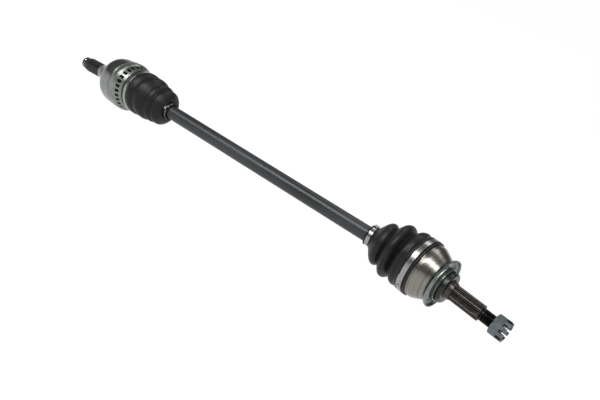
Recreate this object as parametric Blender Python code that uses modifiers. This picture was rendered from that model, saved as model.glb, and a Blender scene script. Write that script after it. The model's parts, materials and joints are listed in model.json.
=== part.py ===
"""CV axle: a bar shaft with a ball joint at the wheel end and a plunging tripod joint at the gearbox end.

Units are metres. The shaft bar lies along +X, towards the wheel end, with the floor at z = 0.
Every turned piece is drawn as (position along its own axis, radius) in millimetres.
"""

import math

import bmesh
import bpy
from mathutils import Euler, Matrix, Vector

MM = 0.001
OBJECT_NAME = "cv_axle"

# Layout of the whole axle, in millimetres and degrees
JOINT_SPACING = 631.0
BAR_HEIGHT = 46.4
MIDDLE_X = 320.55
MIDDLE_Y = 0.11
OUTER_BEND = 12.3
INNER_YAW = 6.0
INNER_PITCH = 5.3
RUN_GAP = 0.3

# Bar
BAR_R = 12.5
BAR_END_R = 11.5
BAR_TIP = 15.0
BAR_CLIP_R = 11.4
BAR_CLIP_WIRE = 0.8
CLIP_OFFSET = 1.6
BAR_STEP = 17.0

# Ball joint at the wheel end
BALL_COUNT = 6
BALL_R = 8.7
BALL_PITCH_R = 28.0
TRACK_R = 10.3
RACE_R = 24.0
RACE_HALF = 10.5
CAGE_IN_R = 24.6
CAGE_OUT_R = 31.7
CAGE_HALF = 13.5
BELL_CAVITY_R = 32.3
BELL_MOUTH = -12.0
POCKET_R = 20.3
POCKET_FLOOR = 38.4
BELL_SEAT_R = 42.3
BELL_BAND_R = 43.4
BOSS_R = 24.4
HUB_FACE = 54.0
OUTER_SPLINE = (58.0, 106.7)
OUTER_SPLINE_TEETH = 26
OUTER_SPLINE_R = (11.4, 12.4)
THREAD_R = 9.85
THREAD_END = 139.5
COTTER_HOLE_R = 2.0
COTTER_HOLE_U = 131.0

# Castle nut
NUT_START = 125.7
NUT_BODY = 12.0
NUT_HEIGHT = 20.8
NUT_FLATS = 30.0
NUT_TURN = 30.0
NUT_BORE_R = 10.25
NUT_SLOTS = 10
NUT_SLOT_WIDTH = 4.2
NUT_SLOT_TURN = 6.0
NUT_BEVEL = [(-1.0, 14.4), (1.2, 18.2), (-1.0, 20.0)]
CUT_REACH = 20.0
CUT_SPARE = 1.0

# Tripod joint at the gearbox end; its axis runs from the stub's nose (negative) to the mouth
MOUTH = 49.3
NECK_R = 36.0
ROLLERS = 3
ROLLER_PITCH_R = 21.7
ROLLER_R = 14.0
ROLLER_HALF = 4.9
ROLLER_BORE_R = 10.7
NEEDLE_IN_R = 8.8
NEEDLE_OUT_R = 10.4
NEEDLES = 14
TRUNNION_R = 8.5
TRUNNION_END = 27.9
SPIDER_R = 15.5
SPIDER_HALF = 11.0
TRACK_HALF = 14.9
TRACK_REACH = 29.8
TRACK_FLOOR = -33.5
CENTRE_BORE_R = 19.6
CENTRE_FLOOR = -36.0
NOSE_END = -136.0
INNER_SPLINE = (-121.0, -75.0)
INNER_SPLINE_TEETH = 27
INNER_SPLINE_R = (12.5, 13.5)
STUB_CLIP_U = -128.0
STOP_U = 42.8
STOP_R = 32.4
STOP_GROOVE_R = 34.0
STUB_CLIP_GROOVE_R = 10.6

# Tone ring
RING_BAND_R = 45.2
RING_WINDOWS = 29
RING_WINDOW = (9.0, 5.6)
RING_WINDOW_U = 25.0

# Boots and clamps
BOOT_WALL = 2.0
BIG_CLAMP_R = 46.4
OUTER_SMALL_CLAMP = (-86.5, -80.0)
OUTER_BIG_CLAMP = (-3.5, 4.3)
INNER_BIG_CLAMP = (41.0, 48.5)
INNER_SMALL_CLAMP = (111.5, 117.5)
OUTER_BOOT_TURN = (-78.0, -13.0)
INNER_BOOT_TURN = (51.0, 105.0)

FINISHES = {
    "dark_steel": ((0.045, 0.050, 0.056, 1.0), 0.42, 0.9),
    "machined_steel": ((0.56, 0.56, 0.55, 1.0), 0.25, 1.0),
    "satin_steel": ((0.36, 0.34, 0.31, 1.0), 0.34, 1.0),
    "zinc": ((0.34, 0.38, 0.35, 1.0), 0.4, 0.9),
    "clamp_steel": ((0.55, 0.55, 0.53, 1.0), 0.3, 1.0),
    "boot_rubber": ((0.020, 0.020, 0.022, 1.0), 0.5, 0.0),
    "bearing_steel": ((0.6, 0.6, 0.62, 1.0), 0.15, 1.0),
}


def clear_scene():
    for item in list(bpy.data.objects):
        bpy.data.objects.remove(item, do_unlink=True)


def new_collection(name):
    group = bpy.data.collections.new(name)
    bpy.context.scene.collection.children.link(group)
    return group


def make_finish(name):
    colour, roughness, metallic = FINISHES[name]
    finish = bpy.data.materials.new(name)
    finish.use_nodes = True
    shader = finish.node_tree.nodes["Principled BSDF"]
    shader.inputs["Base Color"].default_value = colour
    shader.inputs["Roughness"].default_value = roughness
    shader.inputs["Metallic"].default_value = metallic
    return finish


clear_scene()
PARTS = new_collection(OBJECT_NAME)
CUTTERS = new_collection("cutters")
FINISH = {name: make_finish(name) for name in FINISHES}


# ---------------------------------------------------------------- helpers


def add_frame(name, parent=None, place=(0.0, 0.0, 0.0), turn=(0.0, 0.0, 0.0)):
    """An empty that carries pieces; place is in millimetres and turn in degrees, in its parent's frame."""
    frame = bpy.data.objects.new(name, None)
    frame.location = Vector(place) * MM
    frame.rotation_euler = [math.radians(angle) for angle in turn]
    frame.parent = parent
    PARTS.objects.link(frame)
    return frame


def add_piece(name, mesh, frame, finish):
    piece = bpy.data.objects.new(name, mesh)
    piece.parent = frame
    PARTS.objects.link(piece)
    if finish:
        mesh.materials.append(FINISH[finish])
        mesh.shade_smooth()
        mesh.set_sharp_from_angle(angle=math.radians(35.0))
    return piece


def make_cutter(piece):
    PARTS.objects.unlink(piece)
    CUTTERS.objects.link(piece)
    piece.hide_render = True
    piece.display_type = "WIRE"
    return piece


def boolean(piece, other, operation="DIFFERENCE"):
    cut = piece.modifiers.new(other.name, "BOOLEAN")
    cut.operation = operation
    cut.solver = "EXACT"
    cut.object = other


def mesh_from(name, bm):
    mesh = bpy.data.meshes.new(name)
    bmesh.ops.recalc_face_normals(bm, faces=bm.faces)
    bm.to_mesh(mesh)
    bm.free()
    return mesh


def loop_area(points):
    following = points[1:] + points[:1]
    return 0.5 * sum(a[0] * b[1] - b[0] * a[1] for a, b in zip(points, following))


def arc(radius, start, end, steps, centre=(0.0, 0.0)):
    """Points on an arc, with angles in degrees from the piece's axis."""
    points = []
    for step in range(steps + 1):
        angle = math.radians(start + (end - start) * step / steps)
        points.append((centre[0] + radius * math.cos(angle), centre[1] + radius * math.sin(angle)))
    return points


def turned(name, outline, frame, finish, sides=24, flat_down=False, closed=True):
    """A turned piece along its frame's X axis. A closed outline is a ring; an open one starts and ends on
    the axis. With flat_down, the facets touch the true radius and one of them faces straight down."""
    swell = 1.0 / math.cos(math.pi / sides) if flat_down else 1.0
    points = [(u, r * swell) for u, r in outline]
    if loop_area(points) < 0.0:
        points.reverse()
    mesh = bpy.data.meshes.new(name)
    count = len(points)
    edges = [(i, (i + 1) % count) for i in range(count if closed else count - 1)]
    mesh.from_pydata([(u * MM, 0.0, r * MM) for u, r in points], edges, [])
    piece = add_piece(name, mesh, frame, finish)
    spin = piece.modifiers.new("turn", "SCREW")
    spin.axis = "X"
    spin.steps = sides
    spin.render_steps = sides
    spin.use_merge_vertices = True
    spin.merge_threshold = 0.00001
    spin.use_normal_flip = False
    if flat_down:
        piece.rotation_euler = (math.pi / sides, 0.0, 0.0)
    return piece


def block(name, low, high, frame, finish=None, turn=0.0):
    """A box between two corners, turned about the frame's X axis by turn degrees."""
    bm = bmesh.new()
    bmesh.ops.create_cube(bm, size=1.0)
    size = [(b - a) * MM for a, b in zip(low, high)]
    middle = [(a + b) * 0.5 * MM for a, b in zip(low, high)]
    bmesh.ops.scale(bm, vec=size, verts=bm.verts)
    bmesh.ops.translate(bm, vec=middle, verts=bm.verts)
    bmesh.ops.rotate(bm, cent=(0, 0, 0), matrix=Matrix.Rotation(math.radians(turn), 3, "X"), verts=bm.verts)
    return add_piece(name, mesh_from(name, bm), frame, finish)


def extruded(name, outline, start, end, frame, finish):
    """A flat (y, z) outline in millimetres, extruded along the frame's X axis."""
    bm = bmesh.new()
    face = bm.faces.new([bm.verts.new((start * MM, y * MM, z * MM)) for y, z in outline])
    grown = bmesh.ops.extrude_face_region(bm, geom=[face])
    moved = [item for item in grown["geom"] if isinstance(item, bmesh.types.BMVert)]
    bmesh.ops.translate(bm, vec=((end - start) * MM, 0.0, 0.0), verts=moved)
    return add_piece(name, mesh_from(name, bm), frame, finish)


def ball(name, radius, place, frame, finish, rings=(12, 7)):
    bm = bmesh.new()
    bmesh.ops.create_uvsphere(bm, u_segments=rings[0], v_segments=rings[1], radius=radius * MM)
    piece = add_piece(name, mesh_from(name, bm), frame, finish)
    piece.location = Vector(place) * MM
    return piece


def snap_ring(name, radius, wire, place, frame, finish, gap=30.0):
    """An open wire ring about the frame's X axis."""
    points = 17
    curve = bpy.data.curves.new(name, "CURVE")
    curve.dimensions = "3D"
    curve.bevel_depth = wire * MM
    curve.bevel_resolution = 1
    curve.use_fill_caps = True
    line = curve.splines.new("POLY")
    line.points.add(points - 1)
    for i, point in enumerate(line.points):
        angle = math.radians(gap / 2.0 + (360.0 - gap) * i / (points - 1))
        point.co = (place * MM, radius * MM * math.cos(angle), radius * MM * math.sin(angle), 1.0)
    curve.materials.append(FINISH[finish])
    ring = bpy.data.objects.new(name, curve)
    ring.parent = frame
    PARTS.objects.link(ring)
    return ring


def toothed_outline(teeth, root_r, tip_r):
    """A splined shaft's cross-section, four points to a tooth."""
    points = []
    for tooth in range(teeth):
        for share, radius in ((0.0, root_r), (0.22, root_r), (0.38, tip_r), (0.84, tip_r)):
            angle = 2.0 * math.pi * (tooth + share) / teeth
            points.append((radius * math.cos(angle), radius * math.sin(angle)))
    return points


def smooth_share(value, start, end):
    share = min(max((value - start) / (end - start), 0.0), 1.0)
    return share * share * (3.0 - 2.0 * share)


def bent_boot(name, outside, frame, turn_at, finish, sides=24):
    """A bellows whose sections turn about the joint's centre, from the bar's line to the housing's.
    turn_at(u) gives the turn of the section at u."""
    inside = [(u, r - BOOT_WALL) for u, r in outside]
    swell = 1.0 / math.cos(math.pi / sides)
    outline = [(u, r * swell) for u, r in outside + inside[::-1]]
    bm = bmesh.new()
    rings = []
    for u, radius in outline:
        turn = turn_at(u).to_matrix()
        ring = []
        for side in range(sides):
            angle = 2.0 * math.pi * side / sides
            point = Vector((u, radius * math.cos(angle), radius * math.sin(angle))) * MM
            ring.append(bm.verts.new(turn @ point))
        rings.append(ring)
    for here, there in zip(rings, rings[1:] + rings[:1]):
        for side in range(sides):
            after = (side + 1) % sides
            bm.faces.new((here[side], here[after], there[after], there[side]))
    return add_piece(name, mesh_from(name, bm), frame, finish)


# ---------------------------------------------------------------- frames

bar_line = add_frame("bar_line", None, (-MIDDLE_X, MIDDLE_Y, BAR_HEIGHT))
outer_centre = add_frame("outer_centre", bar_line, (JOINT_SPACING, 0, 0))
cage_frame = add_frame("cage_frame", outer_centre, turn=(0, 0, -OUTER_BEND / 2))
wheel_frame = add_frame("wheel_frame", cage_frame, turn=(0, 0, -OUTER_BEND / 2))
inner_yaw_frame = add_frame("inner_yaw_frame", bar_line, turn=(0, 0, -INNER_YAW))
housing_frame = add_frame("housing_frame", inner_yaw_frame, turn=(0, -INNER_PITCH, 0))
trunnion_frames = [
    add_frame(f"trunnion_frame_{i + 1}", bar_line, turn=(120.0 * i, 0, 0)) for i in range(ROLLERS)
]


# ---------------------------------------------------------------- bar


def build_bar():
    far = JOINT_SPACING
    spider_clip = -SPIDER_HALF - CLIP_OFFSET
    race_clip = far + RACE_HALF + CLIP_OFFSET
    outline = [(-BAR_TIP, 0), (-BAR_TIP, BAR_END_R)] + clip_groove(spider_clip)
    outline += [(BAR_STEP - 3, BAR_END_R), (BAR_STEP, BAR_R), (far - BAR_STEP, BAR_R)]
    outline += [(far - BAR_STEP + 3, BAR_END_R)] + clip_groove(race_clip)
    outline += [(far + BAR_TIP, BAR_END_R), (far + BAR_TIP, 0)]
    turned("axle_shaft", outline, bar_line, "dark_steel", closed=False)
    snap_ring("spider_circlip", BAR_CLIP_R, BAR_CLIP_WIRE, spider_clip, bar_line, "bearing_steel")
    snap_ring("inner_race_circlip", BAR_CLIP_R, BAR_CLIP_WIRE, race_clip, bar_line, "bearing_steel")


def clip_groove(place):
    """The bar's outline through the groove of a clip at place."""
    low, high = place - BAR_CLIP_WIRE - RUN_GAP, place + BAR_CLIP_WIRE + RUN_GAP
    floor = BAR_CLIP_R - BAR_CLIP_WIRE - RUN_GAP
    return [(low, BAR_END_R), (low, floor), (high, floor), (high, BAR_END_R)]


def ring_box(start, end, inner_r, outer_r):
    return [(start, inner_r), (end, inner_r), (end, outer_r), (start, outer_r)]


# ---------------------------------------------------------------- ball joint


def track_cutter(name, index, frame):
    """A ring swept round the joint centre, which cuts two opposite ball tracks."""
    turn = 180.0 * index / (BALL_COUNT // 2)
    bm = bmesh.new()
    around, across = 32, 12
    rings = []
    for i in range(around):
        swing = Matrix.Rotation(2.0 * math.pi * i / around, 3, "Z")
        ring = []
        for j in range(across):
            angle = 2.0 * math.pi * (j + 0.5) / across
            point = Vector((0, BALL_PITCH_R + TRACK_R * math.cos(angle), TRACK_R * math.sin(angle))) * MM
            ring.append(bm.verts.new(Matrix.Rotation(math.radians(turn), 3, "X") @ swing @ point))
        rings.append(ring)
    for here, there in zip(rings, rings[1:] + rings[:1]):
        for j in range(across):
            after = (j + 1) % across
            bm.faces.new((here[j], here[after], there[after], there[j]))
    return make_cutter(add_piece(name, mesh_from(name, bm), frame, None))


def build_inner_race():
    half_angle = math.degrees(math.acos(RACE_HALF / RACE_R))
    outline = arc(RACE_R, half_angle, 180.0 - half_angle, 5)
    outline += [(-RACE_HALF, BAR_END_R + RUN_GAP), (RACE_HALF, BAR_END_R + RUN_GAP)]
    race = turned("inner_race", outline, outer_centre, "bearing_steel")
    for index in range(BALL_COUNT // 2):
        boolean(race, track_cutter(f"race_track_{index}", index, outer_centre))
    stop = ring_box(-RACE_HALF - 3.2, -RACE_HALF - 0.4, BAR_END_R + RUN_GAP, 14.6)
    turned("shaft_stop_ring", stop, outer_centre, "bearing_steel", sides=24)


def build_cage():
    start_out = math.degrees(math.acos(CAGE_HALF / CAGE_OUT_R))
    start_in = math.degrees(math.acos(CAGE_HALF / CAGE_IN_R))
    outline = arc(CAGE_OUT_R, start_out, 180.0 - start_out, 4)
    outline += arc(CAGE_IN_R, 180.0 - start_in, start_in, 5)
    cage = turned("cage", outline, cage_frame, "bearing_steel")
    long_half = BALL_R + 1.6
    wide_half = BALL_R + RUN_GAP
    for index in range(BALL_COUNT // 2):
        turn = 180.0 * index / (BALL_COUNT // 2)
        window = block(
            f"cage_window_{index}", (-wide_half, -40, -long_half), (wide_half, 40, long_half), cage_frame, None, turn
        )
        boolean(cage, make_cutter(window))
    for index in range(BALL_COUNT):
        angle = 2.0 * math.pi * index / BALL_COUNT
        place = (0, BALL_PITCH_R * math.cos(angle), BALL_PITCH_R * math.sin(angle))
        ball(f"ball_{index + 1}", BALL_R, place, cage_frame, "bearing_steel")


def build_outer_housing():
    mouth_angle = math.degrees(math.acos(BELL_MOUTH / BELL_CAVITY_R))
    pocket_angle = math.degrees(math.asin(POCKET_R / BELL_CAVITY_R))
    cavity = [(POCKET_FLOOR, 0), (POCKET_FLOOR, POCKET_R)]
    cavity += arc(BELL_CAVITY_R, pocket_angle, mouth_angle, 8)
    rim = [(BELL_MOUTH, BELL_SEAT_R - 1.5), (BELL_MOUTH + 1.5, BELL_SEAT_R)]
    band = [(9.0, BELL_SEAT_R), (9.5, BELL_BAND_R), (14.0, BELL_BAND_R)]
    dome = [(19.0, 42.3), (26.5, 39.0), (33.0, 34.6), (35.6, 31.2), (35.6, BOSS_R)]
    boss = [(HUB_FACE - 1.5, BOSS_R), (HUB_FACE, BOSS_R - 1.5), (HUB_FACE, 16.5), (57.0, 14.2), (61.0, 13.4)]
    stem = [(63.0, 10.6), (OUTER_SPLINE[1] + 1.0, 9.2), (OUTER_SPLINE[1] + 3.5, 9.2)]
    stem += [(OUTER_SPLINE[1] + 4.5, THREAD_R), (THREAD_END - 1.2, THREAD_R), (THREAD_END, THREAD_R - 1.2)]
    outline = cavity + rim + band + dome + boss + stem + [(THREAD_END, 0)]
    bell = turned("outer_housing", outline, wheel_frame, "satin_steel", closed=False)
    spline = extruded(
        "outer_spline", toothed_outline(OUTER_SPLINE_TEETH, *OUTER_SPLINE_R), *OUTER_SPLINE, wheel_frame, None
    )
    boolean(bell, make_cutter(spline), "UNION")
    for index in range(BALL_COUNT // 2):
        boolean(bell, track_cutter(f"bell_track_{index}", index, wheel_frame))
    hole = bmesh.new()
    bmesh.ops.create_cone(
        hole, cap_ends=True, segments=12, radius1=COTTER_HOLE_R * MM, radius2=COTTER_HOLE_R * MM, depth=0.03
    )
    pin_hole = add_piece("cotter_hole", mesh_from("cotter_hole", hole), wheel_frame, None)
    pin_hole.location = (COTTER_HOLE_U * MM, 0, 0)
    boolean(bell, make_cutter(pin_hole))


def build_dust_shield():
    sheet = 1.4
    outside = [(45.0, 26.2), (38.6, 26.2), (37.4, 29.6), (37.2, 33.4), (38.4, 36.2), (41.8, 37.2)]
    rim = [(43.2, 37.9), (43.4, 39.1), (41.8, 39.6)]
    back = [(37.4, 38.0), (36.0, 34.6), (36.0, 28.8), (37.2, 26.2 - sheet), (45.0, 26.2 - sheet)]
    turned("dust_shield", outside + rim + back, wheel_frame, "zinc")


def build_axle_nut():
    corner = NUT_FLATS / 2.0 / math.cos(math.radians(30.0))
    end = NUT_START + NUT_HEIGHT
    angles = [math.radians(NUT_TURN + 60 * i) for i in range(6)]
    hexagon = [(corner * math.cos(angle), corner * math.sin(angle)) for angle in angles]
    nut = extruded("axle_nut", hexagon, NUT_START, end, wheel_frame, "zinc")
    for name, bevel in (
        ("seat_bevel", [(NUT_START + u, r) for u, r in NUT_BEVEL]),
        ("crown_bevel", [(end - u, r) for u, r in NUT_BEVEL]),
    ):
        boolean(nut, make_cutter(turned(name, bevel, wheel_frame, None)))
    low, high = NUT_START - CUT_SPARE, end + CUT_SPARE
    bore = [(low, 0), (low, NUT_BORE_R), (high, NUT_BORE_R), (high, 0)]
    boolean(nut, make_cutter(turned("nut_bore", bore, wheel_frame, None, closed=False)))
    half = NUT_SLOT_WIDTH / 2.0
    floor = NUT_START + NUT_BODY
    for index in range(NUT_SLOTS // 2):
        turn = NUT_SLOT_TURN + 360.0 / NUT_SLOTS * index
        corners = (floor, -half, -CUT_REACH), (high, half, CUT_REACH)
        slot = block(f"nut_slot_{index}", *corners, wheel_frame, None, turn)
        boolean(nut, make_cutter(slot))


# ---------------------------------------------------------------- tripod joint


def build_inner_housing():
    nose = [(NOSE_END, 0), (NOSE_END, 9.6), (NOSE_END + 2.0, 11.6)]
    clip = [(STUB_CLIP_U - 1.0, 11.6), (STUB_CLIP_U - 1.0, STUB_CLIP_GROOVE_R)]
    clip += [(STUB_CLIP_U + 1.0, STUB_CLIP_GROOVE_R), (STUB_CLIP_U + 1.0, 11.6), (-119.0, 11.6), (-77.0, 11.6)]
    root = [(-76.0, 14.4), (-70.0, 15.2), (-64.0, 17.5), (-56.0, 22.3)]
    dome = [(-48.0, 27.5), (-40.0, 32.8), (-32.5, 37.8), (-28.5, 40.6), (-24.5, 42.5), (-18.0, 43.7), (-9.0, 44.3), (3.3, 44.3)]
    seat = [(3.3, 42.4), (13.0, 42.4), (18.5, 39.7), (29.5, NECK_R), (MOUTH - 1.0, NECK_R), (MOUTH, NECK_R - 1.0)]
    outline = nose + clip + root + dome + seat + [(MOUTH, 0)]
    housing = turned("inner_housing", outline, housing_frame, "machined_steel", sides=28, closed=False)
    spline = extruded(
        "inner_spline", toothed_outline(INNER_SPLINE_TEETH, *INNER_SPLINE_R), *INNER_SPLINE, housing_frame, None
    )
    boolean(housing, make_cutter(spline), "UNION")
    flare = [(CENTRE_FLOOR, 0), (CENTRE_FLOOR, CENTRE_BORE_R), (6.4, CENTRE_BORE_R), (MOUTH + 2.0, 33.3)]
    bore = turned("centre_bore", flare + [(MOUTH + 2.0, 0)], housing_frame, None, sides=24, closed=False)
    boolean(housing, make_cutter(bore))
    for index in range(ROLLERS):
        low = (TRACK_FLOOR, -TRACK_HALF, 0.0)
        high = (MOUTH + 4.0, TRACK_HALF, TRACK_REACH)
        slot = block(f"roller_track_{index}", low, high, housing_frame, None, 120.0 * index)
        boolean(housing, make_cutter(slot))
    stop = ring_box(STOP_U - 1.5, STOP_U + 1.5, 24.0, STOP_GROOVE_R)
    groove = turned("stop_groove", stop, housing_frame, None, sides=28)
    boolean(housing, make_cutter(groove))
    snap_ring("housing_retaining_ring", STOP_R, 1.1, STOP_U, housing_frame, "bearing_steel", gap=14.0)
    snap_ring("inner_stub_circlip", 11.7, 0.7, STUB_CLIP_U, housing_frame, "bearing_steel")


def build_tone_ring():
    outside = [(3.7, RING_BAND_R), (14.5, RING_BAND_R), (17.5, 44.4), (19.5, 42.6)]
    cone = [(35.0, 38.6), (35.0, 37.0)]
    inside = [(32.8, 37.0), (18.9, 40.55), (13.2, 42.75), (3.7, 42.75)]
    ring = turned("abs_tone_ring", outside + cone + inside, housing_frame, "zinc", sides=RING_WINDOWS)
    windows = bmesh.new()
    for index in range(RING_WINDOWS):
        made = bmesh.ops.create_cube(windows, size=1.0)["verts"]
        size = (RING_WINDOW[0] * MM, RING_WINDOW[1] * MM, 8.0 * MM)
        bmesh.ops.scale(windows, vec=size, verts=made)
        bmesh.ops.translate(windows, vec=(RING_WINDOW_U * MM, 0.0, 39.3 * MM), verts=made)
        turn = Matrix.Rotation(2.0 * math.pi * (index + 0.5) / RING_WINDOWS, 3, "X")
        bmesh.ops.rotate(windows, cent=(0, 0, 0), matrix=turn, verts=made)
    cutter = add_piece("tone_windows", mesh_from("tone_windows", windows), housing_frame, None)
    boolean(ring, make_cutter(cutter))


def build_spider():
    barrel = ring_box(-SPIDER_HALF, SPIDER_HALF, BAR_END_R + RUN_GAP, SPIDER_R)
    spider = turned("tripod_spider", barrel, bar_line, "bearing_steel", sides=24)
    for index, frame in enumerate(trunnion_frames):
        pin = turned_up(f"trunnion_{index}", [(13.2, 0), (13.2, TRUNNION_R), (TRUNNION_END, TRUNNION_R)], frame)
        boolean(spider, make_cutter(pin), "UNION")


def turned_up(name, outline, frame, finish=None, sides=20, closed=False):
    """A turned piece along its frame's Z axis, from (height, radius) pairs."""
    outline = list(outline)
    if not closed:
        outline.append((outline[-1][0], 0))
    piece = turned(name, outline, frame, finish, sides=sides, closed=closed)
    piece.rotation_euler = (0.0, -math.pi / 2.0, 0.0)
    return piece


def build_rollers():
    low, high = ROLLER_PITCH_R - ROLLER_HALF, ROLLER_PITCH_R + ROLLER_HALF
    swing = math.degrees(math.asin(ROLLER_HALF / ROLLER_R))
    crown = arc(ROLLER_R, 90.0 - swing, 90.0 + swing, 2, centre=(ROLLER_PITCH_R, 0.0))
    roller = crown + [(low, ROLLER_BORE_R), (high, ROLLER_BORE_R)]
    clip = ring_box(TRUNNION_END - 1.0, TRUNNION_END - 0.2, TRUNNION_R + RUN_GAP, NEEDLE_OUT_R)
    for index, frame in enumerate(trunnion_frames):
        number = index + 1
        home = inner_yaw_frame if index == 0 else frame
        turned_up(f"roller_{number}", roller, home, "bearing_steel", sides=24, closed=True)
        turned_up(f"trunnion_ring_{number}", clip, frame, "bearing_steel", closed=True)
        build_needles(number, low + 0.3, high - 0.3, frame)


def build_needles(number, low, high, frame):
    """The loose needles round one trunnion, drawn as one corrugated ring."""
    points = []
    for side in range(NEEDLES * 2):
        angle = math.pi * side / NEEDLES
        radius = NEEDLE_OUT_R if side % 2 == 0 else NEEDLE_OUT_R - 0.45
        points.append((radius * math.cos(angle), radius * math.sin(angle)))
    needles = extruded(f"needle_set_{number}", points, low, high, frame, "bearing_steel")
    needles.rotation_euler = (0.0, -math.pi / 2.0, 0.0)
    hole = [(low - 1.0, 0), (low - 1.0, NEEDLE_IN_R), (high + 1.0, NEEDLE_IN_R)]
    boolean(needles, make_cutter(turned_up(f"needle_bore_{number}", hole, frame, sides=24)))


# ---------------------------------------------------------------- boots and clamps


def outer_turn(u):
    share = smooth_share(u, *OUTER_BOOT_TURN)
    return Euler((0, 0, -math.radians(OUTER_BEND) * share))


def inner_turn(u):
    share = 1.0 - smooth_share(u, *INNER_BOOT_TURN)
    pitch = Matrix.Rotation(-math.radians(INNER_PITCH) * share, 3, "Y")
    yaw = Matrix.Rotation(-math.radians(INNER_YAW) * share, 3, "Z")
    return (yaw @ pitch).to_euler()


def build_boots():
    seat = BOOT_WALL + RUN_GAP
    outer = [(-88.6, BAR_R + seat), (-79.4, BAR_R + seat), (-66.0, 32.0), (-60.5, 34.8), (-54.5, 31.2)]
    outer += [(-43.5, 43.2), (-39.0, 44.2), (-29.5, 36.6), (-21.0, 44.6), (-16.5, 45.3), (-11.5, 44.3)]
    outer += [(-7.0, 45.6), (-4.4, 44.5), (4.8, 44.5), (8.6, 45.3)]
    bent_boot("outer_boot", outer, outer_centre, outer_turn, "boot_rubber")
    inner = [(36.4, NECK_R + seat), (50.6, NECK_R + seat), (55.0, 39.6), (62.5, 36.8), (71.0, 38.8)]
    inner += [(76.5, 38.0), (83.5, 33.6), (88.5, 35.0), (94.5, 30.6), (99.5, 32.6), (104.5, 31.0)]
    inner += [(112.0, 22.6), (110.4, BAR_R + seat + 0.05), (119.0, BAR_R + seat)]
    bent_boot("inner_boot", inner, bar_line, inner_turn, "boot_rubber")


def build_clamps():
    thick = 1.0
    sleeve = BAR_R + 2 * RUN_GAP + BOOT_WALL
    big = ring_box(*OUTER_BIG_CLAMP, BIG_CLAMP_R - 1.2, BIG_CLAMP_R)
    turned("outer_boot_large_clamp", big, wheel_frame, "clamp_steel", sides=24, flat_down=True)
    turned("outer_boot_small_clamp", ring_box(*OUTER_SMALL_CLAMP, sleeve, sleeve + thick), outer_centre, "clamp_steel")
    neck = NECK_R + 3 * RUN_GAP + BOOT_WALL
    turned("inner_boot_large_clamp", ring_box(*INNER_BIG_CLAMP, neck, neck + thick), housing_frame, "clamp_steel")
    turned("inner_boot_small_clamp", ring_box(*INNER_SMALL_CLAMP, sleeve, sleeve + thick), bar_line, "clamp_steel")


def main():
    build_bar()
    build_inner_race()
    build_cage()
    build_outer_housing()
    build_dust_shield()
    build_axle_nut()
    build_inner_housing()
    build_tone_ring()
    build_spider()
    build_rollers()
    build_boots()
    build_clamps()


main()
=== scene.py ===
"""The finished look of a CV axle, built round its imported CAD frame.

Outlines are (position along the piece's own axis, radius) in millimetres; everything placed in the
scene is in metres. Angles round an axis are in degrees: 0 points along the frame's Y and 90 up.
"""

import json
import math

import bmesh
import bpy
import numpy as np
from mathutils import Matrix, Vector


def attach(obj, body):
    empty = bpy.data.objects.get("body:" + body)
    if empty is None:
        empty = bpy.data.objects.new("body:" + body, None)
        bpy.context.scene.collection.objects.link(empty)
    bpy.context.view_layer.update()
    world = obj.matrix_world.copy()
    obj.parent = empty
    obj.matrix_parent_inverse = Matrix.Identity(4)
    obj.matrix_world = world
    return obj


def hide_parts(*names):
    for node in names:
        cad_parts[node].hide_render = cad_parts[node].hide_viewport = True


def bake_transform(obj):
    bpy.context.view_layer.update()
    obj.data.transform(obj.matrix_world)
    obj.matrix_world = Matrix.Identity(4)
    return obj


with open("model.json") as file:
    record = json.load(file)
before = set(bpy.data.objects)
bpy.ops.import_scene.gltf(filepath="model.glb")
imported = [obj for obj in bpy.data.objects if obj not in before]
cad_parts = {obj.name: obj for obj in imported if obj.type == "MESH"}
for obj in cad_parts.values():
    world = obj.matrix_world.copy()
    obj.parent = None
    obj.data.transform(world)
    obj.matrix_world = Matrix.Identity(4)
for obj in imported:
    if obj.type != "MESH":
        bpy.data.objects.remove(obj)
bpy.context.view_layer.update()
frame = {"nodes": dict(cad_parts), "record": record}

MM = 0.001
UP = Vector((0.0, 0.0, 1.0))
UV_NAME = "turning"

# ---------------------------------------------------------------- frames


def placed(origin, along, side):
    """A frame whose X axis runs along, with its Y axis as near to side as it can be."""
    x = along.normalized()
    z = x.cross(side).normalized()
    matrix = Matrix((x, z.cross(x), z)).transposed().to_4x4()
    matrix.translation = origin
    return matrix


JOINTS = {joint["name"]: joint for joint in frame["record"]["behaviour"]["joints"]}
OUTER_CENTRE = Vector(JOINTS["outer_steer"]["pos_m"])
INNER_CENTRE = Vector(JOINTS["inner_pitch"]["pos_m"])
WHEEL_AXIS = Vector(JOINTS["axle_nut_turn"]["axis"])
HOUSING_AXIS = Vector(JOINTS["inner_plunge"]["axis"])
YAW_SIDE = Vector(JOINTS["inner_pitch"]["axis"])
BAR_AXIS = (OUTER_CENTRE - INNER_CENTRE).normalized()
BAR_SIDE = UP.cross(BAR_AXIS)

BAR = placed(INNER_CENTRE, BAR_AXIS, BAR_SIDE)
BAR_END = placed(OUTER_CENTRE, BAR_AXIS, BAR_SIDE)
WHEEL = placed(OUTER_CENTRE, WHEEL_AXIS, UP.cross(WHEEL_AXIS))
HOUSING = placed(INNER_CENTRE, HOUSING_AXIS, YAW_SIDE)
SPACING = (OUTER_CENTRE - INNER_CENTRE).length / MM

# ---------------------------------------------------------------- materials


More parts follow.
